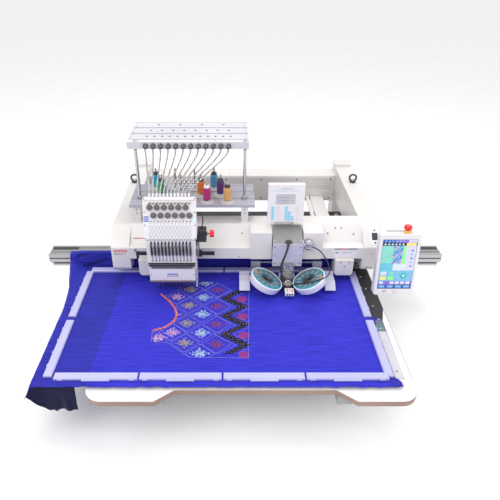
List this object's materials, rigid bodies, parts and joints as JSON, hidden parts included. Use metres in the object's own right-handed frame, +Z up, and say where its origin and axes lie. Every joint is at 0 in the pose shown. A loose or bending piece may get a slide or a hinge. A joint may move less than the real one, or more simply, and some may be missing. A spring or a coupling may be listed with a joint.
{
  "type": "embroidery machine",
  "caption": "Flat-bed embroidery machine: bridge frame with multi-needle head, bead head, thread stand, operator tablet and a border frame that moves a stretched cloth over a table.",
  "frame": {"origin": "on the floor plane under the levelling feet, at the middle of the bounding box", "axes": "+X to the operator's right along the bridge and X beam, -Y towards the operator, +Z up"},
  "size_m": [1.784, 1.48, 0.845],
  "materials": {
    "warm_white_paint": "satin enamel",
    "light_grey_paint": "satin enamel",
    "frame_steel": "grey enamel",
    "laminate": "white laminate on board",
    "polished_steel": "polished",
    "chrome_rod": "bright",
    "aluminium_profile": "anodised",
    "black_metal": "black",
    "dark_steel": "machined",
    "clip_plastic": "pale lilac plastic",
    "white_plastic": "moulded",
    "black_plastic": "moulded",
    "red_plastic": "moulded",
    "knob_grey": "moulded",
    "blue_fabric": "stretched royal blue crepe",
    "thread_mix": "polyester embroidery thread",
    "tube_grey": "braided sleeve",
    "screen_glass": "lit display",
    "teal_plastic": "translucent",
    "cord_black": "black"
  },
  "bodies": {
    "machine": {"base_frame": "frame_steel", "levelling_feet": "dark_steel", "table_top": "laminate", "deck_plates": "polished_steel", "end_frame_left": "warm_white_paint", "end_frame_right": "warm_white_paint", "rear_beam": "warm_white_paint", "rear_cover": "warm_white_paint", "bridge_beam": "warm_white_paint", "bridge_cover": "warm_white_paint", "bead_head_cover": "warm_white_paint", "head_arm": "warm_white_paint", "case_rail": "black_metal", "hook_beds": "frame_steel", "drive_motor": "black_metal", "y_rails": "dark_steel", "control_cabinet": "light_grey_paint", "lifting_eyes": "dark_steel", "bridge_boxes": "warm_white_paint", "thread_tray": "light_grey_paint", "tray_brackets": "warm_white_paint", "stand_rods": "chrome_rod", "guide_bars": "light_grey_paint", "spools": "thread_mix", "thread_tubes": "tube_grey"},
    "y_carriage": {"x_beam": "aluminium_profile", "y_sliders": "dark_steel", "x_drive_motor": "frame_steel"},
    "x_carriage": {"border_frame": "aluminium_profile", "frame_clips": "clip_plastic", "fabric_sheet": "blue_fabric", "fabric_drape": "blue_fabric"},
    "needle_case": {"case_body": "warm_white_paint", "tension_panel": "white_plastic", "tension_knobs": "knob_grey", "takeup_levers": "black_metal", "idle_needle_bars": "chrome_rod", "lower_cover": "white_plastic", "colour_motor": "black_plastic", "motor_cable": "cord_black"},
    "needle_bar": {"active_needle_bar": "chrome_rod"},
    "takeup_lever": {"active_takeup_lever": "black_metal"},
    "presser_foot": {"active_presser_foot": "chrome_rod"},
    "colour_knob": {"colour_knob": "red_plastic"},
    "main_shaft": {"main_shaft": "dark_steel"},
    "rotary_hook": {"rotary_hook": "dark_steel"},
    "bead_head": {"bead_housing": "light_grey_paint", "bead_column": "dark_steel", "bead_mounts": "white_plastic", "air_hose": "cord_black", "sensor_cable": "cord_black"},
    "bead_wheel_left": {"bead_wheel_left": "teal_plastic"},
    "bead_wheel_right": {"bead_wheel_right": "teal_plastic"},
    "tablet_arm": {"tablet_arm": "frame_steel"},
    "tablet": {"tablet_body": "white_plastic", "tablet_screen": "screen_glass"},
    "home_button": {"home_button": "white_plastic"},
    "emergency_stop": {"estop_cap": "red_plastic"},
    "power_rocker": {"power_rocker": "black_plastic"},
    "small_display": {"lcd_box": "white_plastic"}
  },
  "joints": [
    {"name": "frame_y", "type": "slide", "parent": "machine", "child": "y_carriage", "axis": [0, 1, 0], "range_m": [0, 0.45]},
    {"name": "frame_x", "type": "slide", "parent": "y_carriage", "child": "x_carriage", "axis": [1, 0, 0], "range_m": [-0.18, 0.29], "deforming": ["fabric_drape"]},
    {"name": "needle_case_slide", "type": "slide", "parent": "machine", "child": "needle_case", "axis": [1, 0, 0], "range_m": [-0.07, 0.084], "deforming": ["thread_tubes"]},
    {"name": "needle_bar_stroke", "type": "slide", "parent": "needle_case", "child": "needle_bar", "axis": [0, 0, 1], "range_m": [-0.03, 0], "deforming": ["fabric_sheet"]},
    {"name": "takeup_swing", "type": "hinge", "parent": "needle_case", "child": "takeup_lever", "pos_m": [-0.298, -0.132, 0.478], "axis": [1, 0, 0], "range_deg": [0, 41]},
    {"name": "presser_stroke", "type": "slide", "parent": "needle_case", "child": "presser_foot", "axis": [0, 0, 1], "range_m": [-0.0125, 0]},
    {"name": "colour_knob_turn", "type": "hinge", "parent": "needle_case", "child": "colour_knob", "pos_m": [-0.15, -0.115, 0.53], "axis": [1, 0, 0], "range_deg": [-1802, 2162]},
    {"name": "main_shaft_spin", "type": "hinge", "parent": "machine", "child": "main_shaft", "pos_m": [0, 0.024, 0.43], "axis": [1, 0, 0], "continuous": true},
    {"name": "hook_spin", "type": "hinge", "parent": "machine", "child": "rotary_hook", "pos_m": [-0.298, -0.1, 0.214], "axis": [0, 1, 0], "continuous": true},
    {"name": "bead_head_lift", "type": "slide", "parent": "machine", "child": "bead_head", "axis": [0, 0, 1], "range_m": [0, 0.016]},
    {"name": "bead_wheel_left_turn", "type": "hinge", "parent": "bead_head", "child": "bead_wheel_left", "pos_m": [0.082, -0.145, 0.322], "axis": [0.4226, 0, 0.9063], "continuous": true},
    {"name": "bead_wheel_right_turn", "type": "hinge", "parent": "bead_head", "child": "bead_wheel_right", "pos_m": [0.263, -0.145, 0.322], "axis": [-0.4226, 0, 0.9063], "continuous": true},
    {"name": "tablet_swivel", "type": "hinge", "parent": "machine", "child": "tablet_arm", "pos_m": [0.59, -0.092, 0.405], "axis": [0, 0, 1], "range_deg": [-20, 20]},
    {"name": "tablet_tilt", "type": "hinge", "parent": "tablet_arm", "child": "tablet", "pos_m": [0.595, -0.1605, 0.43], "axis": [1, 0, 0], "range_deg": [-10, 12]},
    {"name": "home_press", "type": "slide", "parent": "tablet", "child": "home_button", "axis": [0, -0.9914, 0.1305], "range_m": [-0.001, 0], "stiffness_N_per_m": 300},
    {"name": "emergency_press", "type": "slide", "parent": "tablet", "child": "emergency_stop", "axis": [0, 0.1305, 0.9914], "range_m": [-0.006, 0]},
    {"name": "power_rocker_tip", "type": "hinge", "parent": "machine", "child": "power_rocker", "pos_m": [0.548, -0.01345, 0.45497], "axis": [1, 0, 0], "range_deg": [0, 7]},
    {"name": "display_tilt", "type": "hinge", "parent": "machine", "child": "small_display", "pos_m": [0.1635, 0.022, 0.51], "axis": [1, 0, 0], "range_deg": [-12, 8]}
  ],
  "couplings": [
    {"joint": "takeup_swing", "follows": "needle_bar_stroke", "rad_per_m": -22},
    {"joint": "presser_stroke", "follows": "needle_bar_stroke", "ratio": 0.4},
    {"joint": "colour_knob_turn", "follows": "needle_case_slide", "rad_per_m": 448.8},
    {"joint": "hook_spin", "follows": "main_shaft_spin", "ratio": 2}
  ]
}
